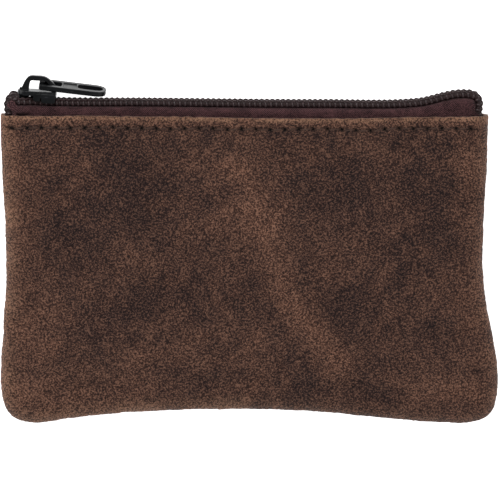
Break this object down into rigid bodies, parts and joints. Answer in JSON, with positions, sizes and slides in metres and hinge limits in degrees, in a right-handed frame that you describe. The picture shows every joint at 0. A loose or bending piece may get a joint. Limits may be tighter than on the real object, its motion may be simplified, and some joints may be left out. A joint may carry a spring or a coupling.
{
  "type": "zippered pouch",
  "caption": "Small flat pouch of two turned leather panels with a nylon coil zip along its mouth and a looped puller, closed and lying on its back.",
  "frame": {"origin": "on the floor under the middle of the flat back, half way from the lower corners to the mouth edge", "axes": "+X along the zip, from the closed slider to the far end; +Y out of the mouth; +Z out of the front"},
  "size_m": [0.117, 0.0822, 0.0093],
  "materials": {
    "leather": "rough nap, waxed and rubbed",
    "thread": "twisted polyester thread",
    "zip_tape": "woven",
    "zip_coil": "dyed nylon",
    "zip_cord": "spun cord",
    "zip_thread": "twisted thread",
    "black_metal": "satin black paint"
  },
  "bodies": {
    "pouch": {"front_panel": "leather", "front_topstitch": "thread", "front_bobbin_thread": "thread", "front_zip_tape": "zip_tape", "front_coil": "zip_coil", "front_coil_cord": "zip_cord", "front_coil_thread": "zip_thread", "back_panel": "leather", "back_topstitch": "thread", "back_bobbin_thread": "thread", "back_zip_tape": "zip_tape", "back_coil": "zip_coil", "back_coil_cord": "zip_cord", "back_coil_thread": "zip_thread", "seam_needle_thread": "thread", "seam_bobbin_thread": "thread"},
    "slider": {"slider_body": "black_metal"},
    "puller": {"puller": "black_metal"}
  },
  "joints": [
    {"name": "slider_travel", "type": "slide", "parent": "pouch", "child": "slider", "axis": [1, 0, 0], "range_m": [0, 0.086], "deforming": ["front_coil", "front_coil_cord", "front_coil_thread", "back_coil", "back_coil_cord", "back_coil_thread"]},
    {"name": "puller_swing", "type": "hinge", "parent": "slider", "child": "puller", "pos_m": [-0.04853, 0.04351, 0.00395], "axis": [0, 0, 1], "range_deg": [0, 165]}
  ]
}
